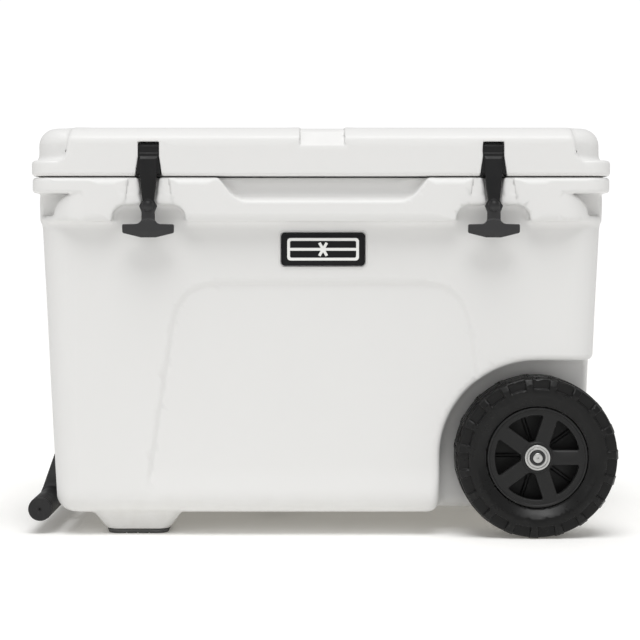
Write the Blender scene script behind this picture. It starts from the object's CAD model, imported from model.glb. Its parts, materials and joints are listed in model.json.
"""Looks for the wheeled cooler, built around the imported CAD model.

Each visible piece is a distance field in millimetres, negative inside, either in the frame of the
CAD model or about the piece's own middle. Its zero surface becomes a mesh in metres whose shading
normals come from the field, so edges blend as moulded plastic does. CAD nodes that nothing
replaces keep their shape and get a material.
"""
import json
import math
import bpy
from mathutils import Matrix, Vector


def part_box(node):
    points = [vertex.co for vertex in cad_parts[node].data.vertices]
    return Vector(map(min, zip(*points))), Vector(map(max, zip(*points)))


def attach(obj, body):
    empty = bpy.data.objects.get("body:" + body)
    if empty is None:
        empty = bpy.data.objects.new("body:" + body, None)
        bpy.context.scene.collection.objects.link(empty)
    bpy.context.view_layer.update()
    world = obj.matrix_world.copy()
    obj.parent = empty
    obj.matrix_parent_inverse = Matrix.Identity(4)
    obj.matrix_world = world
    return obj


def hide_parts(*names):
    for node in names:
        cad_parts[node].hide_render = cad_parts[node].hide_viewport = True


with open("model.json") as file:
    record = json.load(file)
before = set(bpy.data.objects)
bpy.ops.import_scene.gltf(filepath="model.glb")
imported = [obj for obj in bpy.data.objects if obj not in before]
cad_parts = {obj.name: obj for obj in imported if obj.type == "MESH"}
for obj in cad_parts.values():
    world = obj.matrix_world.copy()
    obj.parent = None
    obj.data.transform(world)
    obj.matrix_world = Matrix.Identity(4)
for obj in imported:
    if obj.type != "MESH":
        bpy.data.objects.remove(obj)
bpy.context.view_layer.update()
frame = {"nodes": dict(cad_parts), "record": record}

from concurrent.futures import ThreadPoolExecutor

import bpy
import numpy as np
import openvdb
from mathutils import Matrix, Vector

MM = 0.001


def box_mm(node):
    """Lowest and highest corner of a CAD node, in millimetres."""
    low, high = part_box(node)
    return np.array(low) / MM, np.array(high) / MM


def middle_mm(node):
    """Middle of a CAD node's box, in millimetres."""
    low, high = box_mm(node)
    return (low + high) / 2


# ---------------------------------------------------------------- sizes read from the frame
BODY_LOW, BODY_HIGH = box_mm("body_shell")
LID_LOW, LID_HIGH = box_mm("lid_shell")
AXLE_LOW, AXLE_HIGH = box_mm("axle")
PAD_LOW, PAD_HIGH = box_mm("foot_pad_front")
ARM_LOW, ARM_HIGH = box_mm("handle_arm_rear")
CAP_LOW, CAP_HIGH = box_mm("grip_cap_front")
PIN_FROM_X = box_mm("latch_pin_right")[0][0]

FRONT_Y = BODY_LOW[1]
FLUSH_Y = -FRONT_Y
BADGE_X, _, BADGE_Z = middle_mm("badge_plate")
AXLE_X, _, AXLE_Z = middle_mm("axle")
WHEEL_Y = middle_mm("tyre_front")[1]
_, HINGE_Y, HINGE_Z = middle_mm("hinge_pin_right")
LATCH_X = middle_mm("latch_right")[0]
_, PIN_Y, PIN_Z = middle_mm("latch_pin_right")
DRAIN_Z = middle_mm("drain_sleeve")[2]
PIVOT_X, _, PIVOT_Z = middle_mm("handle_pivot_rod")
GRIP_X, _, GRIP_Z = middle_mm("grip_sleeve_front")
PAD_X, PAD_Y, _ = middle_mm("foot_pad_front")
ARM_Y = middle_mm("handle_arm_rear")[1]
AXLE_HALF = (AXLE_HIGH[1] - AXLE_LOW[1]) / 2
ARM_HALF = (ARM_HIGH[1] - ARM_LOW[1]) / 2
CAP_HALF = (CAP_HIGH[1] - CAP_LOW[1]) / 2

# ---------------------------------------------------------------- moulded shells, mm
TUB = {"floor": 28.0, "top": 385.0, "high": 425.0, "corner": 32.0, "edge": 21.0,
       "half_x": 338.0, "half_y": 204.0, "foot_x": 323.5, "foot_y": 190.0}
BAND = {"low": 382.3, "high": 426.0, "half_x": 341.0, "corner": 64.0, "edge": 2.0}
RIM = {"low": 416.0, "high": 434.4, "corner": 26.0, "edge": 4.0}
RIDGE_Z = 389.0
ROOM = {"floor": 83.0, "high": 480.0, "half_x": 290.0, "half_y": 156.0, "foot_x": 281.0, "foot_y": 148.0,
        "corner": 26.0, "edge": 14.0}
HUMP = {"from_x": 225.0, "top": 142.0}
WELL = {"radius": 116.5, "back_y": 138.0, "inside": 35.0,
        "blend": 8.0, "low_blend": 9.0, "low_z": 75.0, "fade": 40.0}
PANEL = {"top": 308.0, "shoulder_x": 171.4, "spread": 0.158, "slant": 0.991, "corner": 50.0,
         "depth": 3.0, "line": 7.0, "wall_y": 150.0, "wall_fade": 20.0, "low_z": 46.0, "low_fade": 40.0}
SCOOP = {"from_x": 287.0, "run": 33.0, "over": 0.5, "scale": 28.0, "from_y": 186.0}
END_GRIP = {"from_x": 318.0, "half_y": 100.0}
FINGERS = {"x": 2.5, "low_half": 102.5, "flare": 0.786, "ledge_z": 406.0, "fall": 0.5, "slant": 0.894,
           "back": 14.0}
KEEPER = {"half": 25.5, "low_z": 402.0, "sink": 2.2, "flare_z": 418.0, "flare": 0.12,
          "slot_half": 7.6, "slot_flare": 0.15, "slot_deep": 13.0, "slot_below": 3.0,
          "arch_half": 43.5, "arch_z": 362.0, "arch_radius": 17.0, "arch_proud": 0.3}
POCKET = {"half_y": 88.0, "low": 344.0, "high": 384.0, "back_x": -323.0}
DRAIN = {"seat": 30.0, "seat_deep": 6.0, "bore": 15.1, "bore_end_x": -250.0}
FOOT = {"half_x": 38.5, "half_y": 38.0, "flare_x": 17.0, "flare_y": 8.0, "corner": 15.0,
        "above_pad": 0.3, "into_floor": 12.0, "edge": 2.0}
KNUCKLE = {"first": 60.0, "length": 44.0, "pitch": 46.0, "count": 5, "radius": 10.5, "edge": 2.5,
           "root_in": 15.0, "root_off": 22.0, "lap": 0.5, "gap": 0.8, "end_gap": 1.0, "bore_past": 5.0}
LID = {"low": 436.0, "lip_x": 346.8, "lip_high": 455.0, "lip_edge": 4.5,
       "crown_mid": -2.5, "crown_x": 340.3, "crown_y": 197.0, "crown_low": 395.0, "crown_corner": 36.0,
       "crown_edge": 21.0, "upper_low": 446.0,
       "apron_x": 305.3, "apron_slant": 0.15, "bevel_low": 481.4, "bevel_run": 16.0}
LATCH_SLOT = {"half": 12.6, "flare_z": 459.0, "flare": 0.147, "top": 476.9, "deep": 10.5}
CHANNEL = {"x": 1.5, "half": 26.5, "depth": 1.5, "lip_z": 472.0, "run": 18.0}
SEAL = {"half_x": 304.0, "half_y": 170.0, "corner": 26.0, "half_width": 4.5, "high": 441.0, "gap": 0.3}
PLUG_PANEL = {"low": 428.0, "high": 450.0, "half_x": 284.0, "half_y": 150.0, "corner": 24.0, "edge": 4.0}
FILL_HOLE = {"radius": 12.0, "high": 436.0}
PIN_ACCESS = {"x": 304.6, "z": 466.0, "radius": 1.9, "back_y": -192.0}
PIN_BORE = 3.35
AXLE_BORE = 9.3


# ---------------------------------------------------------------- distance fields
def rounded_rect(a, b, half_a, half_b, radius):
    qa = np.abs(a) - (half_a - radius)
    qb = np.abs(b) - (half_b - radius)
    return np.hypot(np.maximum(qa, 0), np.maximum(qb, 0)) + np.minimum(np.maximum(qa, qb), 0) - radius


def slab(outline, z, low, high, edge):
    """An outline carried from low to high, with its top and bottom edges rounded."""
    a = outline + edge
    b = np.abs(z - (low + high) / 2) - (high - low) / 2 + edge
    return np.hypot(np.maximum(a, 0), np.maximum(b, 0)) + np.minimum(np.maximum(a, b), 0) - edge


def join(a, b, blend):
    """Union of two fields. Here and below, blend is the width over which they run into each other."""
    near = np.maximum(blend - np.abs(a - b), 0) / blend
    return np.minimum(a, b) - near * near * (blend / 4)


def both(a, b, blend):
    """What two fields have in common."""
    return -join(-a, -b, blend)


def cut(a, hole, blend):
    return both(a, -hole, blend)


def smooth_step(value):
    t = np.clip(value, 0, 1)
    return t * t * (3 - 2 * t)


def steps(value, table):
    """Straight-line interpolation in a table of (value, result) pairs, in rising order."""
    return np.interp(value, [row[0] for row in table], [row[1] for row in table])


def capsule(a, b, a0, b0, a1, b1, radius):
    """Field of a bar with round ends, from one point to another."""
    da, db = a1 - a0, b1 - b0
    along = np.clip(((a - a0) * da + (b - b0) * db) / (da * da + db * db), 0, 1)
    return np.hypot(a - a0 - along * da, b - b0 - along * db) - radius


def polygon_field(a, b, corners):
    """Distance to a polygon's outline, negative inside."""
    nearest = np.full(np.broadcast(a, b).shape, 1e9)
    sign = np.ones(nearest.shape)
    for (a0, b0), (a1, b1) in zip(corners, corners[1:] + corners[:1]):
        da, db = a1 - a0, b1 - b0
        wa, wb = a - a0, b - b0
        along = np.clip((wa * da + wb * db) / (da * da + db * db), 0, 1)
        nearest = np.minimum(nearest, (wa - along * da) ** 2 + (wb - along * db) ** 2)
        above, below, left = b >= b0, b < b1, da * wb > db * wa
        turn = (above & below & left) | (~above & ~below & ~left)
        sign = np.where(turn, -sign, sign)
    return sign * np.sqrt(nearest)


def mirrored_y(field, side):
    """The same field with its front turned towards the given side of the object."""
    return lambda x, y, z: field(x, y * -side, z)


# ---------------------------------------------------------------- hinge
def knuckle_spans(start):
    """Middle of every second knuckle on one half of the hinge, as a distance from the middle."""
    return [KNUCKLE["first"] + i * KNUCKLE["pitch"] + KNUCKLE["length"] / 2
            for i in range(start, KNUCKLE["count"], 2)]


def along_span(x, middles, half):
    distance = np.abs(np.abs(x) - middles[0]) - half
    for middle in middles[1:]:
        distance = np.minimum(distance, np.abs(np.abs(x) - middle) - half)
    return distance


def knuckles(x, y, z, start, web):
    """Hinge barrels with the web that carries them, web being above (1) or below (-1) the seam."""
    barrel = np.hypot(y - HINGE_Y, z - HINGE_Z) - KNUCKLE["radius"]
    root_y, root_z = HINGE_Y - KNUCKLE["root_in"], HINGE_Z + web * KNUCKLE["root_off"]
    arm = capsule(y, z, HINGE_Y, HINGE_Z, root_y, root_z, KNUCKLE["radius"])
    seam = RIM["high"] - KNUCKLE["lap"] if web < 0 else LID["low"] + KNUCKLE["lap"]
    arm = np.maximum(arm, web * (seam - z))
    profile = np.minimum(barrel, arm)
    return both(profile, along_span(x, knuckle_spans(start), KNUCKLE["length"] / 2), KNUCKLE["edge"])


def knuckle_room(x, y, z, start):
    """Room round the other half's knuckles."""
    ring = np.hypot(y - HINGE_Y, z - HINGE_Z) - KNUCKLE["radius"] - KNUCKLE["gap"]
    half = KNUCKLE["length"] / 2 + KNUCKLE["end_gap"]
    return np.maximum(ring, along_span(x, knuckle_spans(start), half))


def hinge_bore(x, y, z):
    reach = KNUCKLE["first"] + KNUCKLE["count"] * KNUCKLE["pitch"] + KNUCKLE["bore_past"]
    return np.maximum(np.hypot(y - HINGE_Y, z - HINGE_Z) - PIN_BORE, np.abs(x) - reach)


# ---------------------------------------------------------------- chest
def arch(x, z, radius):
    """Outline of the space over a wheel: round above the axle, open below and towards the end."""
    return np.hypot(np.minimum(x - AXLE_X, 0), np.maximum(z - AXLE_Z, 0)) - radius


def end_wall_x(z):
    rise = (z - TUB["floor"]) / (TUB["top"] - TUB["floor"])
    return TUB["foot_x"] + rise * (TUB["half_x"] - TUB["foot_x"])


def side_wall_y(z):
    rise = (z - TUB["floor"]) / (TUB["top"] - TUB["floor"])
    return TUB["foot_y"] + rise * (TUB["half_y"] - TUB["foot_y"])


def front_panel(x, y, z):
    """How far the shallow field sinks the front and rear walls."""
    side = (np.abs(x) - PANEL["shoulder_x"] - (PANEL["top"] - z) * PANEL["spread"]) * PANEL["slant"]
    outline = both(z - PANEL["top"], side, PANEL["corner"])
    on_wall = smooth_step((np.abs(y) - PANEL["wall_y"]) / PANEL["wall_fade"])
    field = smooth_step(0.5 - outline / PANEL["line"]) * on_wall
    return PANEL["depth"] * field * smooth_step((z - PANEL["low_z"]) / PANEL["low_fade"])


def corner_scoops(x, y, z):
    """Undercuts below the rim at the four corners, seen from the front as a quarter oval."""
    across = np.maximum(np.abs(x) - SCOOP["from_x"], 0) / SCOOP["run"]
    up = np.maximum(z - RIDGE_Z, 0) / (RIM["low"] - RIDGE_Z + SCOOP["over"])
    beyond = SCOOP["scale"] * (1 - np.hypot(across, up))
    region = both(beyond, SCOOP["from_y"] - np.abs(y), 6)
    return both(both(region, RIDGE_Z - z, 4), z - RIM["low"], 2)


def end_grips(x, y, z):
    """Undercuts below the rim in the middle of both ends, for the fingers."""
    region = both(END_GRIP["from_x"] - np.abs(x), np.abs(y) - END_GRIP["half_y"], 16)
    return both(both(region, RIDGE_Z - z, 6), z - RIM["low"], 4)


def keeper_cuts(body, x, y, z):
    """Sloped face, strap slot and arch below it, where each latch lies."""
    off = np.abs(np.abs(x) - LATCH_X)
    back = y + FLUSH_Y
    low_z = KEEPER["low_z"]
    rise = RIM["high"] - low_z
    ahead = ((z - low_z) * KEEPER["sink"] - back * rise) / math.hypot(rise, KEEPER["sink"])
    sides = off - KEEPER["half"] - (KEEPER["flare_z"] - z) * KEEPER["flare"]
    body = cut(body, np.maximum(np.maximum(-ahead, sides), low_z - z), 2.4)
    slot_half = KEEPER["slot_half"] + (z - low_z) * KEEPER["slot_flare"]
    slot = np.maximum(off - slot_half, back - KEEPER["slot_deep"])
    body = cut(body, np.maximum(slot, low_z - KEEPER["slot_below"] - z), 4)
    arch_z = KEEPER["arch_z"]
    opening = rounded_rect(off, z - arch_z, KEEPER["arch_half"], low_z - arch_z, KEEPER["arch_radius"])
    region = both(opening, y + TUB["half_y"] + KEEPER["arch_proud"], 8)
    return cut(body, region, 3.5)


def finger_recess(x, y, z):
    """Recess under the lid's front edge, with a ledge that falls outwards."""
    back = y + FLUSH_Y
    half = FINGERS["low_half"] + (z - FINGERS["ledge_z"]) * FINGERS["flare"]
    ledge = (back * FINGERS["fall"] - (z - FINGERS["ledge_z"])) * FINGERS["slant"]
    region = both(back - FINGERS["back"], ledge, 4)
    return both(region, np.abs(x - FINGERS["x"]) - half, 13)


def compartment(x, y, z):
    """The inside, narrower towards its floor, less the bulges over the wheels and the axle."""
    fall = (RIM["high"] - z) / (RIM["high"] - ROOM["floor"])
    half_x = ROOM["half_x"] - fall * (ROOM["half_x"] - ROOM["foot_x"])
    half_y = ROOM["half_y"] - fall * (ROOM["half_y"] - ROOM["foot_y"])
    outline = rounded_rect(x, y, half_x, half_y, ROOM["corner"])
    room = slab(outline, z, ROOM["floor"], ROOM["high"], ROOM["edge"])
    wells = both(arch(x, z, WELL["radius"] + WELL["inside"]), WELL["back_y"] - WELL["inside"] - np.abs(y), 16)
    hump = both(HUMP["from_x"] - x, z - HUMP["top"], 24)
    return cut(cut(room, wells, 20), hump, 20)


def moulded_feet(x, y, z):
    rise = (z - PAD_HIGH[2]) / (TUB["floor"] - PAD_HIGH[2])
    half_x = FOOT["half_x"] + rise * FOOT["flare_x"]
    half_y = FOOT["half_y"] + rise * FOOT["flare_y"]
    outline = rounded_rect(x - PAD_X, np.abs(y) + PAD_Y, half_x, half_y, FOOT["corner"])
    return slab(outline, z, PAD_HIGH[2] + FOOT["above_pad"], TUB["floor"] + FOOT["into_floor"], FOOT["edge"])


def handle_pocket(x, y, z):
    """Pocket in the end wall, where the handle turns."""
    middle_z, half_z = (POCKET["low"] + POCKET["high"]) / 2, (POCKET["high"] - POCKET["low"]) / 2
    sides = np.maximum(np.abs(y) - POCKET["half_y"], np.abs(z - middle_z) - half_z)
    return np.maximum(sides, x - POCKET["back_x"])


def chest_field(x, y, z):
    outline = rounded_rect(x, y, end_wall_x(z), side_wall_y(z), TUB["corner"])
    wall = slab(outline, z, TUB["floor"], TUB["high"], TUB["edge"]) + front_panel(x, y, z)
    outline = rounded_rect(x, y, BAND["half_x"], FLUSH_Y, BAND["corner"])
    band = slab(outline, z, BAND["low"], BAND["high"], BAND["edge"])
    outline = rounded_rect(x, y, BODY_HIGH[0], FLUSH_Y, RIM["corner"])
    rim = slab(outline, z, RIM["low"], RIM["high"], RIM["edge"])
    body = join(wall, band, 8)
    body = cut(body, corner_scoops(x, y, z), 3)
    body = cut(body, end_grips(x, y, z), 4)
    body = join(body, rim, 3)
    body = np.maximum(body, np.abs(y) - FLUSH_Y)
    body = keeper_cuts(body, x, y, z)
    body = cut(body, finger_recess(x, y, z), 3)
    body = join(body, moulded_feet(x, y, z), 6)
    # A wider blend here would take the shell down to the foam core.
    well = both(arch(x, z, WELL["radius"]), WELL["back_y"] - np.abs(y), 14)
    lower = smooth_step((WELL["low_z"] - z) / WELL["fade"])
    body = cut(body, well, WELL["blend"] + WELL["low_blend"] * lower)
    body = cut(body, handle_pocket(x, y, z), 4)
    from_drain = np.hypot(y, z - DRAIN_Z)
    drain_seat = np.maximum(from_drain - DRAIN["seat"], x + end_wall_x(DRAIN_Z) - DRAIN["seat_deep"])
    body = cut(body, drain_seat, 2.5)
    body = cut(body, knuckle_room(x, y, z, 1), 1)
    body = np.minimum(body, knuckles(x, y, z, 0, -1))
    body = cut(body, compartment(x, y, z), 5)
    body = np.maximum(body, -hinge_bore(x, y, z))
    body = np.maximum(body, AXLE_BORE - np.hypot(x - AXLE_X, z - AXLE_Z))
    return np.maximum(body, -np.maximum(from_drain - DRAIN["bore"], x - DRAIN["bore_end_x"]))


# ---------------------------------------------------------------- lid
def latch_slot(x, y, z):
    off = np.abs(np.abs(x) - LATCH_X)
    half = LATCH_SLOT["half"] + np.maximum(LATCH_SLOT["flare_z"] - z, 0) * LATCH_SLOT["flare"]
    region = both(off - half, z - LATCH_SLOT["top"], 1.6)
    return np.maximum(region, y - PIN_Y - LATCH_SLOT["deep"])


def strap_channel(x, y, z):
    """Shallow channel over the lid, with a steeper bevel at the front and rear."""
    run = CHANNEL["run"]
    drop = LID_HIGH[2] - CHANNEL["depth"] - CHANNEL["lip_z"]
    slope = ((np.abs(y) - FLUSH_Y) * drop + (z - CHANNEL["lip_z"]) * run) / math.hypot(drop, run)
    floor = both(z - LID_HIGH[2] + CHANNEL["depth"], slope, 5)
    return both(np.abs(x - CHANNEL["x"]) - CHANNEL["half"], -floor, 1)


def lid_apron(x, y, z):
    """Upright front and rear faces between the corner pockets, bevelled at the top."""
    rise, run = LID_HIGH[2] - LID["bevel_low"], LID["bevel_run"]
    bevel = ((np.abs(y) - FLUSH_Y) * rise + (z - LID["bevel_low"]) * run) / math.hypot(rise, run)
    apron = both(both(np.abs(y) - FLUSH_Y, bevel, 4), z - LID_HIGH[2], 7)
    return both(apron, np.abs(x) - LID["apron_x"] + (z - LID["lip_high"]) * LID["apron_slant"], 6)


def lid_field(x, y, z):
    top = LID_HIGH[2]
    outline = rounded_rect(x, y, LID["lip_x"], FLUSH_Y, RIM["corner"])
    lip = slab(outline, z, LID["low"], LID["lip_high"], LID["lip_edge"])
    outline = rounded_rect(x - LID["crown_mid"], y, LID["crown_x"], LID["crown_y"], LID["crown_corner"])
    crown = slab(outline, z, LID["crown_low"], top, LID["crown_edge"])
    upper = np.maximum(join(crown, lid_apron(x, y, z), 8), LID["upper_low"] - z)
    lid = join(upper, lip, 9)
    lid = np.maximum(np.maximum(lid, np.abs(y) - FLUSH_Y), z - top)
    lid = cut(lid, strap_channel(x, y, z), 1.2)
    lid = cut(lid, latch_slot(x, y, z), 1.6)
    lid = cut(lid, knuckle_room(x, y, z, 0), 1)
    lid = np.minimum(lid, knuckles(x, y, z, 1, 1))
    outline = rounded_rect(x, y, PLUG_PANEL["half_x"], PLUG_PANEL["half_y"], PLUG_PANEL["corner"])
    lid = join(lid, slab(outline, z, PLUG_PANEL["low"], PLUG_PANEL["high"], PLUG_PANEL["edge"]), 3)
    ring = np.abs(rounded_rect(x, y, SEAL["half_x"], SEAL["half_y"], SEAL["corner"]))
    ring = ring - SEAL["half_width"] - SEAL["gap"]
    lid = cut(lid, np.maximum(ring, z - SEAL["high"] - SEAL["gap"]), 1)
    pin_bore = np.maximum(np.hypot(y - PIN_Y, z - PIN_Z) - PIN_BORE, PIN_FROM_X - 1 - np.abs(x))
    access = np.hypot(np.abs(x) - PIN_ACCESS["x"], z - PIN_ACCESS["z"]) - PIN_ACCESS["radius"]
    access = np.maximum(access, y - PIN_ACCESS["back_y"])
    fill_hole = np.maximum(np.hypot(x, y) - FILL_HOLE["radius"], z - FILL_HOLE["high"])
    for hole in (hinge_bore(x, y, z), pin_bore, access, fill_hole):
        lid = np.maximum(lid, -hole)
    return lid


# ---------------------------------------------------------------- meshes
KEPT_STEPS = 3
SLICE = 8
THREADS = 4
NEWTON_ROUNDS = 2
LEAST_SLOPE = 0.3
MOST_MOVE = 0.6


def sample_field(field, low, high, step):
    """The field on a grid, worked out in slices on several threads, and clipped a few steps from
    the surface."""
    counts = np.ceil((high - low) / step).astype(int) + 1
    axes = [(low[i] + step * np.arange(counts[i])).astype(np.float32) for i in range(3)]
    values = np.empty(counts, np.float32)
    reach = KEPT_STEPS * step

    def fill(start):
        stop = min(start + SLICE, counts[0])
        part = field(axes[0][start:stop, None, None], axes[1][None, :, None], axes[2][None, None, :])
        values[start:stop] = np.clip(part, -reach, reach)

    with ThreadPoolExecutor(THREADS) as pool:
        list(pool.map(fill, range(0, counts[0], SLICE)))
    return values


def field_gradient(field, points, delta):
    columns = []
    for axis in range(3):
        offset = np.zeros(3)
        offset[axis] = delta
        ahead = field(*(points + offset).T)
        behind = field(*(points - offset).T)
        columns.append((ahead - behind) / (2 * delta))
    return np.stack(columns, axis=1)


def onto_surface(field, points, step, delta):
    """The points moved along the field's slope onto its zero surface."""
    for _ in range(NEWTON_ROUNDS):
        slope = field_gradient(field, points, delta)
        length = np.maximum(np.linalg.norm(slope, axis=1, keepdims=True), LEAST_SLOPE)
        move = field(*points.T)[:, None] * slope / length ** 2
        size = np.maximum(np.linalg.norm(move, axis=1, keepdims=True), 1e-9)
        points = points - move * np.minimum(1, MOST_MOVE * step / size)
    return points


def mesh_from_field(name, field, low, high, step, adaptivity=0.03, origin=(0, 0, 0), delta=0.35):
    """Closed mesh of a field's zero surface inside a box, shaded with the field's own normals. The
    field and the box are in millimetres from the origin given. delta is the distance over which
    slopes are measured, and adaptivity is how far flat areas are simplified."""
    low = np.asarray(low, dtype=float)
    values = sample_field(field, low, np.asarray(high, dtype=float), step)
    grid = openvdb.FloatGrid(background=KEPT_STEPS * step)
    grid.copyFromArray(values)
    points, triangles, quads = grid.convertToPolygons(isovalue=0.0, adaptivity=adaptivity)
    points = onto_surface(field, points.astype(float) * step + low, step, delta)
    normals = field_gradient(field, points, delta)
    normals = normals / np.maximum(np.linalg.norm(normals, axis=1, keepdims=True), 1e-6)
    faces = [tuple(int(i) for i in face) for part in (quads, triangles) for face in part]
    mesh = bpy.data.meshes.new(name)
    mesh.from_pydata([tuple(point) for point in (points + np.asarray(origin)) * MM], [], faces)
    mesh.validate()
    mesh.update()
    mesh.polygons.foreach_set("use_smooth", np.ones(len(mesh.polygons), dtype=bool))
    if len(mesh.vertices) == len(normals):
        mesh.normals_split_custom_set_from_vertices(normals.tolist())
    piece = bpy.data.objects.new(name, mesh)
    bpy.context.scene.collection.objects.link(piece)
    return piece


def around(half_x, half_y, half_z):
    """Corners of a box about the origin."""
    half = np.array([half_x, half_y, half_z], dtype=float)
    return -half, half


# ---------------------------------------------------------------- latches
# Tables along the strap run over z from the pin; those of the T handle run over the distance from
# its middle.
STRAP_FRONT = [(-92, -18.4), (-75, -18.4), (-66, -17.2), (-35, -14.2), (-12.2, -10.6), (-9.2, -8.2),
               (8, -8.2)]
STRAP_BACK = [(-92, -10.6), (-66, -10.6), (-35, -4.6), (-10, 1)]
STRAP_HALF = [(-92, 7.9), (-76, 7.9), (-75.5, 8), (-68.5, 10.8), (-62, 6.9), (-35, 10), (-9, 11.2),
              (8, 11.8)]
GUSSET_HALF = [(-36, 15.4), (-32, 15), (-9, 12.2), (8, 12)]
HANDLE_TOP = [(0, -84), (7, -85.4), (11, -89), (14, -89.9), (31, -90.3)]
HANDLE_LOW = [(0, -106), (8.5, -106), (30.5, -100.6)]
LATCH = {"strap_low": -90.0, "strap_high": -6.0, "roll": 7.6, "roll_half": 12.0,
         "web": 7.0, "web_y": -3.2, "web_z": -26.0, "web_low": -33.0,
         "ball": 7.9, "ball_y": -15.6, "ball_z": -68.5, "back_y": -10.6,
         "handle_half": 30.5, "handle_y": -21.6, "line_up": 4.2, "line_half": 0.45, "line_reach": 28.0,
         "line_y": -21.0}


def latch_field(x, y, z):
    """Rubber latch, from its pin: a roll, a tapering strap with side webs, a ball, and a T."""
    side = np.abs(x)
    strap = both(steps(z, STRAP_FRONT) - y, y - steps(z, STRAP_BACK), 1.5)
    strap = both(strap, side - steps(z, STRAP_HALF), 2)
    strap = np.maximum(strap, np.maximum(z - LATCH["strap_high"], LATCH["strap_low"] - z))
    roll = both(np.hypot(y, z) - LATCH["roll"], side - LATCH["roll_half"], 1.6)
    web = capsule(y, z, 0, 0, LATCH["web_y"], LATCH["web_z"], LATCH["web"])
    web = both(both(web, side - steps(z, GUSSET_HALF), 1.6), LATCH["web_low"] - z, 3)
    body = join(join(roll, web, 1), strap, 1.2)
    ball = np.sqrt(x * x + (y - LATCH["ball_y"]) ** 2 + (z - LATCH["ball_z"]) ** 2) - LATCH["ball"]
    body = join(body, np.maximum(ball, y - LATCH["back_y"]), 0.8)
    bar = both(z - steps(side, HANDLE_TOP), steps(side, HANDLE_LOW) - z, 1.6)
    bar = both(both(bar, side - LATCH["handle_half"], 2), y - LATCH["back_y"], 1)
    # The T's front face slopes back towards its top, less so further from its middle.
    lean = (13 - side * 0.43) * 0.45
    bevel = ((LATCH["handle_y"] - y) * 4.2 + (-94 - z - lean) * 2.0) / 4.65
    bar = both(both(bar, LATCH["handle_y"] - y, 1.4), bevel, 0.6)
    body = join(body, bar, 2.2)
    line = np.abs(z - steps(side, HANDLE_LOW) - LATCH["line_up"]) - LATCH["line_half"]
    line = np.maximum(line, side - LATCH["line_reach"])
    body = cut(body, np.maximum(line, y - LATCH["line_y"]), 0.4)
    return np.maximum(body, PIN_BORE - np.hypot(y, z))


# ---------------------------------------------------------------- wheels
LUGS = 19
LUG_TURN = 2 * math.pi / LUGS
TYRE_SECTION = [(61.3, -26.5), (63.2, -26.7), (70.5, -31.8), (73.5, -33.5), (77, -34), (88, -34),
                (94.8, -30.6), (98, -24), (98, 24), (94.8, 30.6), (88, 34), (77, 34), (73.5, 33.5),
                (70.5, 31.8), (63.2, 26.7), (61.3, 26.5)]
TYRE = {"first": math.radians(2.5),
        "face_half": 10.0, "face_mid": 90.0, "face_flare": 0.05, "face_low": 83.4, "face_y": 29.0,
        "tread_half": 10.3, "tread_low": 96.4, "tread_y": 17.0,
        "between_half": 1.4, "between_low": 96.8, "between_y": 21.0,
        "groove_y": 8.0, "groove_half": 1.6, "groove_low": 95.6}
SPOKES = 5
HUB = {"face": -26.5, "face_back": -17.0, "radius": 59.0, "boss": 18.2, "boss_proud": 0.8, "boss_back": -14.0,
       "spoke_half": 8.9, "window_out": 51.2, "window_in": 19.8,
       "barrel": 59.1, "barrel_half": 1.4, "half_width": 28.0,
       "web": 58.0, "web_low": 4.0, "web_high": 8.0, "rib_half": 1.5, "rib_y": 6.0, "rib_deep": 4.5,
       "seat": 15.8, "seat_y": 18.5, "bore": 9.0}
BEARING = {"radius": 15.3, "bore": 9.2, "half": 4.4, "shield": 12.4, "shield_half": 0.45, "shield_y": 3.5}
CLIP = {"radius": 9.0, "bore": 6.4, "half": 1.1}
AXLE = {"radius": 6.0, "centre_mark": 1.1, "mark_deep": 1.2}


def tyre_field(x, y, z):
    """Solid tyre about its own centre, with pockets round both shoulders and grooves between."""
    radius = np.hypot(x, z)
    ring = polygon_field(radius, y, TYRE_SECTION)
    angle = np.arctan2(x, z) - TYRE["first"]
    turn = angle - LUG_TURN * np.round(angle / LUG_TURN)
    across = np.abs(turn) * radius
    outward = np.abs(y)
    face = across - TYRE["face_half"] - (radius - TYRE["face_mid"]) * TYRE["face_flare"]
    face = both(both(face, TYRE["face_low"] - radius, 2), TYRE["face_y"] - outward, 1)
    tread = both(across - TYRE["tread_half"], TYRE["tread_low"] - radius, 0.8)
    tread = both(tread, TYRE["tread_y"] - outward, 2)
    ring = cut(ring, face, 1.6)
    ring = cut(ring, tread, 0.8)
    between = LUG_TURN * (np.abs(angle / LUG_TURN - np.floor(angle / LUG_TURN) - 0.5))
    between = both(between * radius - TYRE["between_half"], TYRE["between_low"] - radius, 0.8)
    ring = cut(ring, both(between, outward - TYRE["between_y"], 2), 0.8)
    groove = both(np.abs(outward - TYRE["groove_y"]) - TYRE["groove_half"], TYRE["groove_low"] - radius, 0.8)
    return cut(ring, groove, 0.8)


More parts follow.
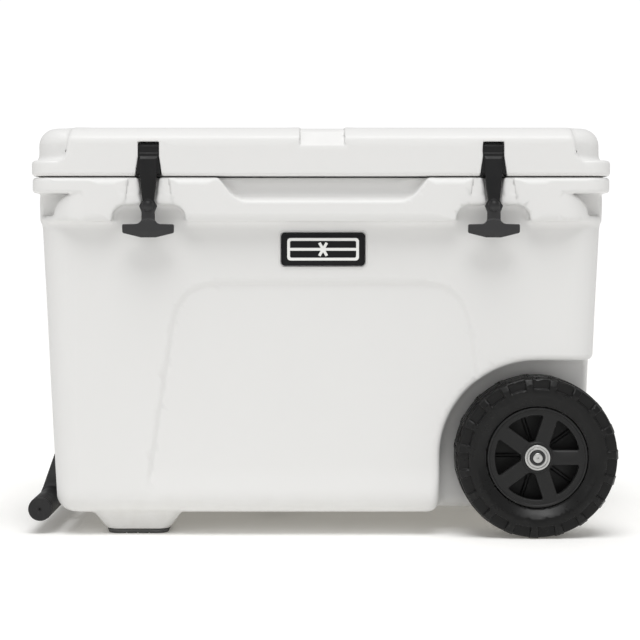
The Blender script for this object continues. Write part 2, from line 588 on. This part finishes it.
def hub_field(x, y, z):
    """Hub about its own centre, outward side towards -y: five spokes, a barrel and a boss."""
    radius = np.hypot(x, z)
    angle = np.arctan2(z, x)
    sector = 2 * math.pi / SPOKES
    turn = angle - sector * np.round(angle / sector)
    off = radius * np.abs(np.sin(turn))
    boss_face = HUB["face"] - HUB["boss_proud"]
    face = slab(radius - HUB["radius"], y, HUB["face"], HUB["face_back"], 0.8)
    face = join(face, slab(radius - HUB["boss"], y, boss_face, HUB["boss_back"], 0.5), 0.8)
    window = both(both(HUB["spoke_half"] - off, radius - HUB["window_out"], 3), HUB["window_in"] - radius, 2)
    face = cut(face, window, 1)
    barrel = np.abs(radius - HUB["barrel"]) - HUB["barrel_half"]
    barrel = slab(barrel, y, -HUB["half_width"], HUB["half_width"], 1)
    web = slab(radius - HUB["web"], y, HUB["web_low"], HUB["web_high"], 1)
    half_turn = angle - math.pi / SPOKES * np.round(angle / (math.pi / SPOKES))
    depth = both(radius - HUB["web"], np.abs(y - HUB["rib_y"]) - HUB["rib_deep"], 1)
    ribs = both(radius * np.abs(np.sin(half_turn)) - HUB["rib_half"], depth, 0.6)
    boss = slab(radius - HUB["boss"], y, boss_face, HUB["half_width"], 0.8)
    body = join(join(face, barrel, 1.2), join(join(web, ribs, 2), boss, 2), 1.5)
    seat = np.maximum(radius - HUB["seat"], HUB["seat_y"] - np.abs(y))
    return np.maximum(np.maximum(body, -seat), HUB["bore"] - radius)


def bearing_field(x, y, z):
    """Bearing about its own centre: two races with a sunk shield between them."""
    radius = np.hypot(x, z)
    ring = np.maximum(radius - BEARING["radius"], BEARING["bore"] - radius)
    ring = slab(ring, y, -BEARING["half"], BEARING["half"], 0.5)
    shield = np.abs(radius - BEARING["shield"]) - BEARING["shield_half"]
    return cut(ring, both(shield, BEARING["shield_y"] - np.abs(y), 0.2), 0.3)


def clip_field(x, y, z):
    """Dark ring that holds the wheel on, about the axle."""
    radius = np.hypot(x, z)
    return slab(np.maximum(radius - CLIP["radius"], CLIP["bore"] - radius), y, -CLIP["half"], CLIP["half"], 0.4)


def axle_field(x, y, z):
    """Axle about its middle, with a centre mark in each end."""
    radius = np.hypot(x, z)
    rod = slab(radius - AXLE["radius"], y, -AXLE_HALF, AXLE_HALF, 1.0)
    mark = both(radius - AXLE["centre_mark"], AXLE_HALF - AXLE["mark_deep"] - np.abs(y), 0.5)
    return cut(rod, mark, 0.3)


# ---------------------------------------------------------------- handle, feet, drain, badge
ARM_GAP = 2
BEND_Z = 342
KNEE_Z = 95
KNEE_BACK_Z = 80
ARM_WIDTH = 10


def arm_x(z):
    """The arm's inner edge at rest, a little off the end wall."""
    return -end_wall_x(z) - ARM_GAP


ARM_OUTLINE = [
    (PIVOT_X - 9, PIVOT_Z), (arm_x(BEND_Z) - ARM_WIDTH, BEND_Z), (arm_x(KNEE_Z) - ARM_WIDTH, KNEE_Z),
    (GRIP_X - 14.5, GRIP_Z + 7), (GRIP_X, GRIP_Z), (GRIP_X + 14.5, GRIP_Z + 5),
    (arm_x(KNEE_BACK_Z), KNEE_BACK_Z), (arm_x(BEND_Z), BEND_Z), (PIVOT_X + 6, PIVOT_Z - 8),
]
EYE = {"radius": 10.0, "bore": 7.6}
COLLAR = {"radius": 14.8, "bore": 11.9}
SLEEVE = {"radius": 14.75, "bore": 11.8, "line_deep": 0.22, "line_in": 6.0, "line_fade": 1.2}
CAP = {"radius": 14.5, "dish": 97.0, "dish_over": 96.6, "dish_to": 10.6, "hole": 1.6, "hole_deep": 3.0}
PAD = {"slope": 0.35, "undercut": 1.9, "corner": 14.0, "groove_x": 14.0, "groove_half": 1.0,
       "groove_deep": 1.2}
STOPPER = {"head": 17.6, "rib": 0.35, "ribs": 30, "head_from": 4.2, "head_to": 8.0,
           "bar_half": 3.2, "bar_reach": 15.6, "bar_from": 0.2, "bar_to": 6.0,
           "stem": 8.8, "stem_from": 7.0, "stem_to": 37.6}
BADGE = {"half_x": 50.5, "half_z": 20.0, "corner": 5.0, "proud": 2.2, "behind": 0.9,
         "inner_x": 48.6, "inner_z": 18.1, "inner_corner": 3.6, "sunk": 0.55, "dome": 0.35, "dome_run": 6.0}
BADGE_BORDER = {"out_x": 53.4, "out_z": 22.6, "out_corner": 7.0, "in_x": 51.3, "in_z": 20.8,
                "in_corner": 5.6, "proud": 0.5, "behind": 1.6}


def arm_field(x, y, z):
    """One flat handle arm, y measured from its middle: eye, bar and welded collar."""
    from_pivot = np.hypot(x - PIVOT_X, z - PIVOT_Z)
    from_grip = np.hypot(x - GRIP_X, z - GRIP_Z)
    outline = join(polygon_field(x, z, ARM_OUTLINE), from_pivot - EYE["radius"], 3)
    flat = slab(outline, y, -ARM_HALF, ARM_HALF, 1.4)
    collar = slab(from_grip - COLLAR["radius"], y, -ARM_HALF, ARM_HALF, 1)
    arm = np.maximum(join(flat, collar, 4), EYE["bore"] - from_pivot)
    return np.maximum(arm, COLLAR["bore"] - from_grip)


def sleeve_field(half):
    """Grip sleeve about its own middle: moulded rubber with a shallow line round each end."""
    def field(x, y, z):
        radius = np.hypot(x, z)
        from_line = np.abs(np.abs(y) - half + SLEEVE["line_in"])
        skin = SLEEVE["radius"] - SLEEVE["line_deep"] * smooth_step(1.5 - from_line / SLEEVE["line_fade"])
        return slab(np.maximum(radius - skin, SLEEVE["bore"] - radius), y, -half, half, 1.0)
    return field


def cap_field(x, y, z):
    """End cap of the grip about its own middle, outward side towards -y, dished, with a hole."""
    radius = np.hypot(x, z)
    disc = slab(radius - CAP["radius"], y, -CAP_HALF, CAP_HALF, 1.7)
    dish = np.sqrt(radius ** 2 + (y + CAP_HALF + CAP["dish_over"]) ** 2) - CAP["dish"]
    disc = cut(disc, both(dish, radius - CAP["dish_to"], 1), 0.5)
    return cut(disc, np.maximum(radius - CAP["hole"], y + CAP_HALF - CAP["hole_deep"]), 0.5)


def pad_field(x, y, z):
    """Foot pad about the middle of its underside, with three shallow grooves under it."""
    half_x, half_y = (PAD_HIGH[0] - PAD_LOW[0]) / 2, (PAD_HIGH[1] - PAD_LOW[1]) / 2
    spread = z * PAD["slope"] - PAD["undercut"]
    pad = slab(rounded_rect(x, y, half_x + spread, half_y + spread, PAD["corner"]), z, 0, PAD_HIGH[2], 1.2)
    groove = np.minimum(np.abs(x), np.abs(np.abs(x) - PAD["groove_x"])) - PAD["groove_half"]
    return cut(pad, np.maximum(groove, z - PAD["groove_deep"]), 0.5)


def drain_plug_field(x, y, z):
    """Drain plug about its axis, x measured from its outer face: grip bar, ribbed head and stem."""
    radius = np.hypot(y, z)
    ribbed = radius - STOPPER["head"] + STOPPER["rib"] * np.cos(np.arctan2(y, z) * STOPPER["ribs"])
    head = slab(ribbed, x, STOPPER["head_from"], STOPPER["head_to"], 1)
    bar = rounded_rect(y, z, STOPPER["bar_half"], STOPPER["bar_reach"], 3)
    bar = slab(bar, x, STOPPER["bar_from"], STOPPER["bar_to"], 1.2)
    stem = slab(radius - STOPPER["stem"], x, STOPPER["stem_from"], STOPPER["stem_to"], 0.8)
    return join(join(head, bar, 1.6), stem, 1)


def badge_field(x, y, z):
    """Badge about its middle, standing out towards -y: domed plate in a thin raised border."""
    outline = rounded_rect(x, z, BADGE["half_x"], BADGE["half_z"], BADGE["corner"])
    plate = slab(outline, y, -BADGE["proud"], BADGE["behind"], 0.5)
    inner = rounded_rect(x, z, BADGE["inner_x"], BADGE["inner_z"], BADGE["inner_corner"])
    dome = BADGE["dome"] * smooth_step(-inner / BADGE["dome_run"])
    return cut(plate, both(inner, y + BADGE["proud"] - BADGE["sunk"] + dome, 0.3), 0.3)


def badge_border_field(x, y, z):
    """Low moulded border round the badge, about the badge's middle."""
    outer = rounded_rect(x, z, BADGE_BORDER["out_x"], BADGE_BORDER["out_z"], BADGE_BORDER["out_corner"])
    inner = rounded_rect(x, z, BADGE_BORDER["in_x"], BADGE_BORDER["in_z"], BADGE_BORDER["in_corner"])
    return slab(np.maximum(outer, -inner), y, -BADGE_BORDER["proud"], BADGE_BORDER["behind"], 0.4)


# ---------------------------------------------------------------- materials
MIX_SHARE, MIX_A, MIX_B, MIX_OUT = 0, 6, 7, 2
BROAD_SCALE = 7.0
PATCHY_SCALE = 60.0
EDGE_FROM, EDGE_TO = 0.53, 0.62
NOISE_LOW, NOISE_HIGH = 0.3, 0.7
WARM_WHITE = (1.0, 0.96, 0.87, 1)


def surface(name, color, roughness, grain=0.0012, bump=0.12, depth=0.00012, variation=0.05,
            rough_spread=0.07, metallic=0.0, specular=0.5, stretch=(1, 1, 1), wear=0.0,
            low_tint=None, pebble=0.0, glow=0.0):
    """Moulded, painted or metal surface: colour that varies softly, grain in the bump, and wear
    on the edges. low_tint is (height where it starts, height where it is full, colour, whether it
    is patchy), for a surface that changes towards its lower part. Lengths are in metres."""
    material = bpy.data.materials.new(name)
    material.use_nodes = True
    nodes, link = material.node_tree.nodes, material.node_tree.links.new
    nodes.clear()

    def node(kind, **values):
        item = nodes.new(kind)
        for key, value in values.items():
            if key in item.inputs:
                item.inputs[key].default_value = value
            else:
                setattr(item, key, value)
        return item

    def mix_towards(base, share, goal):
        """Mix of a colour from the tree and a fixed one."""
        mix = node("ShaderNodeMix", data_type="RGBA")
        mix.inputs[MIX_B].default_value = list(goal) + [1]
        link(share, mix.inputs[MIX_SHARE])
        link(base, mix.inputs[MIX_A])
        return mix.outputs[MIX_OUT]

    place = node("ShaderNodeTexCoord")
    mapping = node("ShaderNodeMapping", Scale=stretch)
    link(place.outputs["Object"], mapping.inputs["Vector"])
    fine = node("ShaderNodeTexNoise", Scale=1 / grain, Detail=3.0, Roughness=0.6)
    broad = node("ShaderNodeTexNoise", Scale=BROAD_SCALE, Detail=4.0, Roughness=0.55)
    patchy = node("ShaderNodeTexNoise", Scale=PATCHY_SCALE, Detail=3.0, Roughness=0.6)
    for item in (fine, broad, patchy):
        link(mapping.outputs["Vector"], item.inputs["Vector"])

    tone = node("ShaderNodeMix", data_type="RGBA")
    tone.inputs[MIX_A].default_value = [channel * (1 - variation) for channel in color] + [1]
    tone.inputs[MIX_B].default_value = [min(channel * (1 + variation), 1) for channel in color] + [1]
    link(broad.outputs["Fac"], tone.inputs[MIX_SHARE])
    result = tone.outputs[MIX_OUT]
    if low_tint:
        start, full, tint, patched = low_tint
        split = node("ShaderNodeSeparateXYZ")
        link(place.outputs["Object"], split.inputs[0])
        fade = node("ShaderNodeMapRange", **{"From Min": start, "From Max": full})
        link(split.outputs["Z"], fade.inputs["Value"])
        share = fade.outputs["Result"]
        if patched:
            spotted = node("ShaderNodeMath", operation="MULTIPLY")
            link(share, spotted.inputs[0])
            link(patchy.outputs["Fac"], spotted.inputs[1])
            share = spotted.outputs[0]
        result = mix_towards(result, share, tint)
    if wear:
        geometry = node("ShaderNodeNewGeometry")
        edge = node("ShaderNodeMapRange", **{"From Min": EDGE_FROM, "From Max": EDGE_TO, "To Max": wear})
        link(geometry.outputs["Pointiness"], edge.inputs["Value"])
        worn = [min(channel * 2.2 + 0.03, 1) for channel in color]
        result = mix_towards(result, edge.outputs["Result"], worn)

    rough = node("ShaderNodeMapRange", **{
        "From Min": NOISE_LOW, "From Max": NOISE_HIGH,
        "To Min": max(roughness - rough_spread, 0.03), "To Max": min(roughness + rough_spread, 1)})
    link(patchy.outputs["Fac"], rough.inputs["Value"])

    relief = fine.outputs["Fac"]
    if pebble:
        cells = node("ShaderNodeTexVoronoi", Scale=1 / pebble, feature="SMOOTH_F1")
        link(mapping.outputs["Vector"], cells.inputs["Vector"])
        total = node("ShaderNodeMath", operation="ADD")
        link(fine.outputs["Fac"], total.inputs[0])
        link(cells.outputs["Distance"], total.inputs[1])
        relief = total.outputs[0]
    raised = node("ShaderNodeBump", Strength=bump, Distance=depth)
    link(relief, raised.inputs["Height"])

    shader = node("ShaderNodeBsdfPrincipled", **{
        "Metallic": metallic, "Specular IOR Level": specular,
        "Emission Color": WARM_WHITE, "Emission Strength": glow})
    link(result, shader.inputs["Base Color"])
    link(rough.outputs["Result"], shader.inputs["Roughness"])
    link(raised.outputs["Normal"], shader.inputs["Normal"])
    output = node("ShaderNodeOutputMaterial")
    link(shader.outputs["BSDF"], output.inputs["Surface"])
    return material


MATERIALS = {
    "white_shell": surface("shell_plastic", (0.74, 0.737, 0.728), 0.46, grain=0.0009, bump=0.25,
                           depth=0.00008, variation=0.012, rough_spread=0.05, specular=0.4,
                           low_tint=(0.06, 0.0, (0.60, 0.59, 0.56), True), pebble=0.0016),
    "foam": surface("insulation_foam", (0.74, 0.66, 0.40), 0.9, grain=0.0011, bump=0.7, depth=0.0004,
                    variation=0.12, pebble=0.0013),
    "gasket_rubber": surface("gasket_rubber", (0.07, 0.07, 0.072), 0.62, grain=0.0007, bump=0.3,
                             wear=0.25),
    "latch_rubber": surface("latch_rubber", (0.010, 0.010, 0.0104), 0.44, grain=0.0006, bump=0.3,
                            variation=0.18, specular=0.22, wear=0.3,
                            low_tint=(0.405, 0.397, (0.036, 0.036, 0.037), False)),
    "foot_rubber": surface("foot_rubber", (0.075, 0.076, 0.074), 0.7, grain=0.0008, bump=0.35,
                           variation=0.15, wear=0.3),
    "grip_rubber": surface("grip_rubber", (0.011, 0.011, 0.0114), 0.5, grain=0.0005, bump=0.4,
                           variation=0.15, wear=0.15, pebble=0.0008, specular=0.25),
    "tyre_rubber": surface("tyre_rubber", (0.0070, 0.0070, 0.0069), 0.33, grain=0.0008, bump=0.35,
                           variation=0.22, rough_spread=0.08, wear=0.3, pebble=0.0014, specular=0.22),
    "wheel_plastic": surface("wheel_plastic", (0.017, 0.017, 0.017), 0.45, grain=0.0007, bump=0.3,
                             variation=0.1, wear=0.3, pebble=0.001, specular=0.2),
    "black_plastic": surface("black_plastic", (0.016, 0.016, 0.0165), 0.5, grain=0.0006, bump=0.3,
                             variation=0.12, wear=0.25, pebble=0.001, specular=0.3),
    "badge_black": surface("badge_black", (0.006, 0.006, 0.007), 0.38, grain=0.001, bump=0.1,
                           variation=0.15, specular=0.2),
    "badge_light": surface("badge_light", (0.82, 0.82, 0.80), 0.4, grain=0.0008, bump=0.15, variation=0.03),
    "black_metal": surface("coated_metal", (0.020, 0.020, 0.021), 0.42, grain=0.0009, bump=0.35,
                           variation=0.15, wear=0.4, specular=0.5, pebble=0.0012),
    "bright_steel": surface("brushed_steel", (0.55, 0.55, 0.54), 0.33, grain=0.0006, bump=0.2,
                            variation=0.1, metallic=1.0, stretch=(1, 0.15, 1)),
    "nylon": surface("nylon", (0.68, 0.68, 0.64), 0.5, grain=0.001, bump=0.2, variation=0.05),
}


def dress(piece, slot, body, *nodes):
    """Give a finished piece its material, its body, and the CAD nodes it stands for."""
    piece.data.materials.clear()
    piece.data.materials.append(MATERIALS[slot])
    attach(piece, body)
    if nodes:
        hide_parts(*nodes)


# ---------------------------------------------------------------- pieces
SHELL_MARGIN = 5
chest = mesh_from_field("chest_shell", chest_field, BODY_LOW - SHELL_MARGIN, BODY_HIGH + SHELL_MARGIN, 2.0)
dress(chest, "white_shell", "chest", "body_shell")
lid = mesh_from_field("lid_moulding", lid_field, LID_LOW - SHELL_MARGIN, LID_HIGH + SHELL_MARGIN, 1.8)
dress(lid, "white_shell", "lid", "lid_shell")

for side_name, side in (("left", -1), ("right", 1)):
    latch = mesh_from_field(f"pull_latch_{side_name}", latch_field, (-34, -27, -109), (34, 12, 11), 0.62,
                            origin=(side * LATCH_X, PIN_Y, PIN_Z), delta=0.15)
    dress(latch, "latch_rubber", f"latch_{side_name}", f"latch_{side_name}")


def grip_cover(where, reach):
    """One sleeve of the grip."""
    node = f"grip_sleeve_{where}"
    low, high = box_mm(node)
    sleeve = mesh_from_field(f"grip_cover_{where}", sleeve_field((high[1] - low[1]) / 2),
                             *around(17, reach, 17), 0.6, origin=middle_mm(node), delta=0.15)
    dress(sleeve, "grip_rubber", "handle", node)


for face_name, side in (("front", -1), ("rear", 1)):
    centre = (AXLE_X, -side * WHEEL_Y, AXLE_Z)
    wheel = f"wheel_{face_name}"
    tyre = mesh_from_field(f"tread_{face_name}", mirrored_y(tyre_field, side), *around(104, 38, 104), 1.25,
                           adaptivity=0.04, origin=centre)
    dress(tyre, "tyre_rubber", wheel, f"tyre_{face_name}")
    hub = mesh_from_field(f"spoked_hub_{face_name}", mirrored_y(hub_field, side), *around(64, 32, 64), 0.9,
                          adaptivity=0.04, origin=centre, delta=0.2)
    dress(hub, "wheel_plastic", wheel, f"hub_{face_name}")
    for where in ("outer", "inner"):
        bearing = f"bearing_{where}_{face_name}"
        ring = mesh_from_field(f"bearing_{where}_ring_{face_name}", bearing_field, *around(18, 7, 18), 0.4,
                               origin=middle_mm(bearing), delta=0.1)
        dress(ring, "bright_steel", wheel, bearing)
    clip = mesh_from_field(f"retaining_ring_{face_name}", clip_field, *around(12, 3, 12), 0.3,
                           origin=middle_mm(f"axle_clip_{face_name}"), delta=0.1)
    dress(clip, "black_metal", "chest", f"axle_clip_{face_name}")

    pad_x, pad_y, _ = middle_mm(f"foot_pad_{face_name}")
    pad = mesh_from_field(f"foot_sole_{face_name}", pad_field, (-42, -42, -2), (42, 42, 8), 0.7,
                          origin=(pad_x, pad_y, 0), delta=0.15)
    dress(pad, "foot_rubber", "chest", f"foot_pad_{face_name}")

    arm = mesh_from_field(f"pull_arm_{face_name}", arm_field, (-362, -10, 12), (-322, 10, 380), 0.9,
                          origin=(0, side * ARM_Y, 0), delta=0.2)
    dress(arm, "black_metal", "handle", f"handle_arm_{face_name}")
    grip_cover(face_name, 60)
    cap = mesh_from_field(f"grip_end_{face_name}", mirrored_y(cap_field, side), *around(17, 6, 17), 0.4,
                          origin=middle_mm(f"grip_cap_{face_name}"), delta=0.1)
    dress(cap, "black_plastic", "handle", f"grip_cap_{face_name}")

grip_cover("middle", 50)

rod = mesh_from_field("axle_rod", axle_field, *around(8, 212, 8), 0.5, adaptivity=0.06,
                      origin=(AXLE_X, 0, AXLE_Z), delta=0.12)
dress(rod, "bright_steel", "chest", "axle")

plug = mesh_from_field("drain_stopper", drain_plug_field, (-2, -20, -20), (40, 20, 20), 0.5,
                       origin=(box_mm("drain_plug")[0][0], 0, DRAIN_Z), delta=0.12)
dress(plug, "black_plastic", "drain_plug", "drain_plug")

# The badge and its border are made upright, then leaned back with the front wall.
WALL_TILT = math.atan((TUB["half_y"] - TUB["foot_y"]) / (TUB["top"] - TUB["floor"]))
BADGE_PROUD = 0.3
badge_place = Vector((BADGE_X, -side_wall_y(BADGE_Z) - BADGE_PROUD, BADGE_Z)) * MM
badge_pose = Matrix.Translation(badge_place) @ Matrix.Rotation(WALL_TILT, 4, "X")
badge = mesh_from_field("name_plate", badge_field, (-53, -4, -22), (53, 2, 22), 0.5, delta=0.12)
badge.data.transform(badge_pose)
dress(badge, "badge_black", "chest", "badge_plate")
badge_border = mesh_from_field("badge_border", badge_border_field, (-56, -3, -25), (56, 4, 25), 0.5, delta=0.12)
badge_border.data.transform(badge_pose)
dress(badge_border, "white_shell", "chest")

slot_of = {row["node"]: row["material_slot"] for row in frame["record"]["subparts"]}
for node_name, node_object in frame["nodes"].items():
    for index in range(len(node_object.material_slots)):
        node_object.material_slots[index].material = MATERIALS[slot_of[node_name]]

# ---------------------------------------------------------------- floor, light and camera
FLOOR_SIZE = 24
bpy.ops.mesh.primitive_plane_add(size=FLOOR_SIZE, location=(0, 0, 0))
floor = bpy.context.object
floor.name = "floor"
floor.data.materials.append(surface("studio_floor", (0.92, 0.92, 0.915), 0.6, variation=0.004, bump=0.02,
                                    specular=0.2, glow=0.13))

SKY_LIGHT = 0.46
SKY_SEEN = 1.05
FRONT_LIGHT = 4
OVERHEAD_LIGHT = 2.1


def add_light(name, kind, power, location, direction):
    """A light that shines from a place in a direction, and its data, for its size."""
    data = bpy.data.lights.new(name, kind)
    data.energy = power
    light = bpy.data.objects.new(name, data)
    bpy.context.scene.collection.objects.link(light)
    light.location = location
    light.rotation_euler = direction.to_track_quat("-Z", "Y").to_euler()
    return data


# The sky is brighter to the camera than to the object, for a white background.
world = bpy.data.worlds.new("studio")
world.use_nodes = True
sky = world.node_tree.nodes["Background"]
sky.inputs["Color"].default_value = (1, 1, 1, 1)
seen = world.node_tree.nodes.new("ShaderNodeLightPath")
strength = world.node_tree.nodes.new("ShaderNodeMapRange")
strength.inputs["To Min"].default_value = SKY_LIGHT
strength.inputs["To Max"].default_value = SKY_SEEN
world.node_tree.links.new(seen.outputs["Is Camera Ray"], strength.inputs["Value"])
world.node_tree.links.new(strength.outputs["Result"], sky.inputs["Strength"])
bpy.context.scene.world = world

front_at = Vector((-2.2, -2.4, 1.2))
front_light = add_light("front_left", "AREA", FRONT_LIGHT, front_at, Vector((0, 0, 0.25)) - front_at)
front_light.shape = "RECTANGLE"
front_light.size = front_light.size_y = 1.2
overhead = add_light("overhead", "SUN", OVERHEAD_LIGHT, (0, 0, 0), Vector((0, 0.42, -1)))
overhead.angle = math.radians(38)

# The photo's scale at the front wall, and the row of its horizon, give the lens and the aim.
CAMERA_DISTANCE = 2300.0
CAMERA_X = -1.2
CAMERA_Z = 360.0
CAMERA_FAR = 60
SENSOR = 36
MM_PER_PIXEL = 1.19
IMAGE = 640
HORIZON = 240
camera_data = bpy.data.cameras.new("camera")
camera_data.sensor_width = SENSOR
camera_data.lens = CAMERA_DISTANCE / (MM_PER_PIXEL * IMAGE) * SENSOR
camera_data.clip_end = CAMERA_FAR
camera = bpy.data.objects.new("camera", camera_data)
bpy.context.scene.collection.objects.link(camera)
camera.location = (CAMERA_X * MM, (FRONT_Y - CAMERA_DISTANCE) * MM, CAMERA_Z * MM)
drop = (IMAGE / 2 - HORIZON) * MM_PER_PIXEL
camera.rotation_euler = Vector((0, CAMERA_DISTANCE, -drop)).to_track_quat("-Z", "Y").to_euler()
bpy.context.scene.camera = camera
bpy.context.scene.view_settings.view_transform = "Standard"
